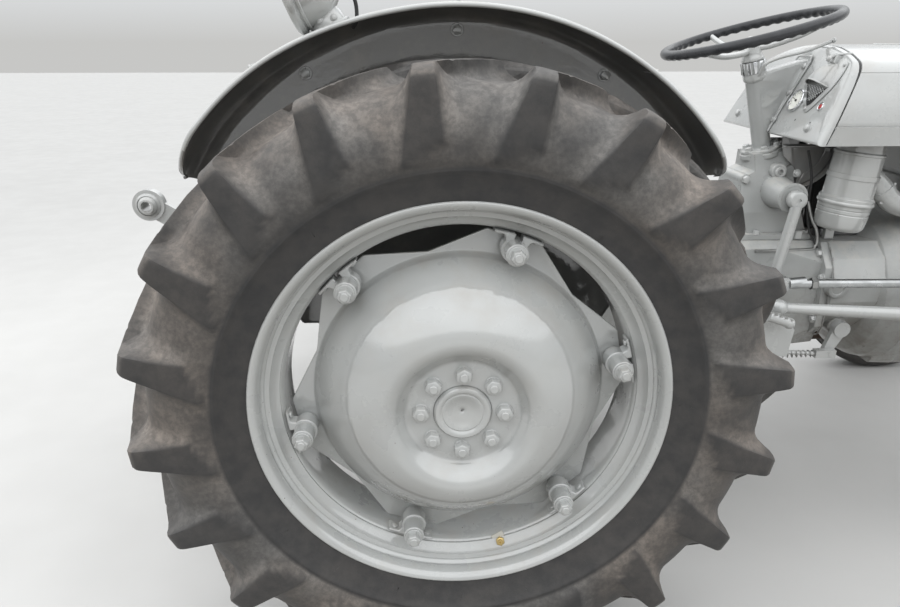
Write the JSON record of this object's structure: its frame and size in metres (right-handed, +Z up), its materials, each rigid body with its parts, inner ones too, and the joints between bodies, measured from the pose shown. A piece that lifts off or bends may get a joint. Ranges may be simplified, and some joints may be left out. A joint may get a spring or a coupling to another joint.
{
  "type": "vintage farm tractor",
  "caption": "Light farm tractor with spoked steering wheel, dished rear wheels, shell mudguards, tilting bonnet and a rear three-point linkage.",
  "frame": {"origin": "on the ground under the middle of the tractor's length and width, with the lower links raised", "axes": "+X is forward, +Y is to the tractor's left, +Z is up"},
  "size_m": [2.8076, 1.616, 1.3862],
  "materials": {
    "grey_paint": "pale grey gloss enamel, worn at edges",
    "grey_casting": "pale grey enamel over rough castings, dusty",
    "dark_paint": "dark satin enamel",
    "rusty_iron": "heat-browned iron",
    "bright_steel": "bare steel",
    "tyre_rubber": "weathered rubber with dried earth",
    "helm_rubber": "black moulded rim on grey spokes"
  },
  "bodies": {
    "chassis": {"front_axle": "grey_casting", "radius_rod_left": "grey_paint", "radius_rod_right": "grey_paint", "front_support": "grey_casting", "radiator": "dark_paint", "fan": "dark_paint", "engine_block": "grey_casting", "cylinder_head": "grey_casting", "manifold": "rusty_iron", "exhaust": "rusty_iron", "air_cleaner": "grey_paint", "dynamo": "dark_paint", "gearbox": "grey_casting", "rear_housing": "grey_casting", "axle_housing_left": "grey_casting", "axle_housing_right": "grey_casting", "lift_cover": "grey_casting", "steering_box": "grey_casting", "dash": "grey_paint", "fuel_tank": "dark_paint", "mudguard_left": "grey_paint", "mudguard_right": "grey_paint", "seat": "grey_paint", "seat_spring": "grey_paint", "footrest_left": "grey_paint", "footrest_right": "grey_paint", "pedals": "grey_paint", "gear_lever": "grey_paint", "work_lamp": "grey_paint"},
    "rear_wheel_left": {"rear_tyre_left": "tyre_rubber", "rear_rim_left": "grey_paint", "rear_disc_left": "grey_paint", "rear_hub_left": "grey_paint"},
    "knuckle_left": {"spindle_left": "grey_paint"},
    "front_wheel_left": {"front_tyre_left": "tyre_rubber", "front_wheel_left": "grey_paint"},
    "drop_arm_left": {"drop_arm_left": "grey_paint"},
    "drag_link_left": {"drag_link_left": "bright_steel"},
    "lower_link_left": {"lower_link_left": "grey_paint"},
    "lift_rod_left": {"lift_rod_left": "bright_steel"},
    "rear_wheel_right": {"rear_tyre_right": "tyre_rubber", "rear_rim_right": "grey_paint", "rear_disc_right": "grey_paint", "rear_hub_right": "grey_paint"},
    "knuckle_right": {"spindle_right": "grey_paint"},
    "front_wheel_right": {"front_tyre_right": "tyre_rubber", "front_wheel_right": "grey_paint"},
    "drop_arm_right": {"drop_arm_right": "grey_paint"},
    "drag_link_right": {"drag_link_right": "bright_steel"},
    "lower_link_right": {"lower_link_right": "grey_paint"},
    "lift_rod_right": {"lift_rod_right": "bright_steel"},
    "steering_wheel": {"steering_wheel": "helm_rubber"},
    "bonnet": {"bonnet": "grey_paint", "grille": "grey_paint"},
    "lift_arms": {"lift_arms": "grey_paint"}
  },
  "joints": [
    {"name": "rear_spin_left", "type": "hinge", "parent": "chassis", "child": "rear_wheel_left", "pos_m": [-0.71172, 0.66, 0.603], "axis": [0, 1, 0], "continuous": true},
    {"name": "rear_spin_right", "type": "hinge", "parent": "chassis", "child": "rear_wheel_right", "pos_m": [-0.71172, -0.66, 0.603], "axis": [0, 1, 0], "continuous": true},
    {"name": "steer_left", "type": "hinge", "parent": "chassis", "child": "knuckle_left", "pos_m": [1.06628, 0.492, 0.5], "axis": [0, 0, 1], "range_deg": [-35, 35]},
    {"name": "front_spin_left", "type": "hinge", "parent": "knuckle_left", "child": "front_wheel_left", "pos_m": [1.06628, 0.61, 0.338], "axis": [0, 1, 0], "continuous": true},
    {"name": "steer_right", "type": "hinge", "parent": "chassis", "child": "knuckle_right", "pos_m": [1.06628, -0.492, 0.5], "axis": [0, 0, 1], "range_deg": [-35, 35]},
    {"name": "front_spin_right", "type": "hinge", "parent": "knuckle_right", "child": "front_wheel_right", "pos_m": [1.06628, -0.61, 0.338], "axis": [0, 1, 0], "continuous": true},
    {"name": "helm_turn", "type": "hinge", "parent": "chassis", "child": "steering_wheel", "pos_m": [0.16028, 0, 0.954], "axis": [-0.2588, 0, 0.9659], "range_deg": [-420, 420]},
    {"name": "drop_arm_swing_left", "type": "hinge", "parent": "chassis", "child": "drop_arm_left", "pos_m": [0.18128, 0.19, 0.854], "axis": [0, 1, 0], "range_deg": [-25.02, 25.02]},
    {"name": "drag_link_swing_left", "type": "hinge", "parent": "drop_arm_left", "child": "drag_link_left", "pos_m": [0.15233, 0.235, 0.64802], "axis": [0, 1, 0], "range_deg": [-25.02, 25.02]},
    {"name": "drop_arm_swing_right", "type": "hinge", "parent": "chassis", "child": "drop_arm_right", "pos_m": [0.18128, -0.19, 0.854], "axis": [0, 1, 0], "range_deg": [-25.02, 25.02]},
    {"name": "drag_link_swing_right", "type": "hinge", "parent": "drop_arm_right", "child": "drag_link_right", "pos_m": [0.15233, -0.235, 0.64802], "axis": [0, 1, 0], "range_deg": [-25.02, 25.02]},
    {"name": "bonnet_tilt", "type": "hinge", "parent": "chassis", "child": "bonnet", "pos_m": [1.12628, 0, 0.712], "axis": [0, 1, 0], "range_deg": [0, 75]},
    {"name": "link_lift_left", "type": "hinge", "parent": "chassis", "child": "lower_link_left", "pos_m": [-0.65172, 0.23, 0.4], "axis": [0, 1, 0], "range_deg": [-47, 0]},
    {"name": "link_lift_right", "type": "hinge", "parent": "chassis", "child": "lower_link_right", "pos_m": [-0.65172, -0.23, 0.4], "axis": [0, 1, 0], "range_deg": [-47, 0]},
    {"name": "lift_arm_turn", "type": "hinge", "parent": "chassis", "child": "lift_arms", "pos_m": [-0.82172, 0, 0.8], "axis": [0, 1, 0], "range_deg": [-68.1, 0]},
    {"name": "lift_rod_swing_left", "type": "hinge", "parent": "lift_arms", "child": "lift_rod_left", "pos_m": [-1.03924, 0.186, 0.90143], "axis": [0, 1, 0], "range_deg": [0, 85.5]},
    {"name": "lift_rod_swing_right", "type": "hinge", "parent": "lift_arms", "child": "lift_rod_right", "pos_m": [-1.03924, -0.186, 0.90143], "axis": [0, 1, 0], "range_deg": [0, 85.5]}
  ],
  "couplings": [
    {"joint": "steer_right", "follows": "steer_left", "ratio": 1},
    {"joint": "helm_turn", "follows": "steer_left", "ratio": 12},
    {"joint": "drop_arm_swing_left", "follows": "steer_left", "ratio": -0.712},
    {"joint": "drag_link_swing_left", "follows": "steer_left", "ratio": 0.712},
    {"joint": "drop_arm_swing_right", "follows": "steer_left", "ratio": 0.712},
    {"joint": "drag_link_swing_right", "follows": "steer_left", "ratio": -0.712},
    {"joint": "link_lift_right", "follows": "link_lift_left", "ratio": 1},
    {"joint": "lift_arm_turn", "follows": "link_lift_left", "ratio": 1.445},
    {"joint": "lift_rod_swing_left", "follows": "link_lift_left", "ratio": -1.815},
    {"joint": "lift_rod_swing_right", "follows": "link_lift_left", "ratio": -1.815}
  ]
}
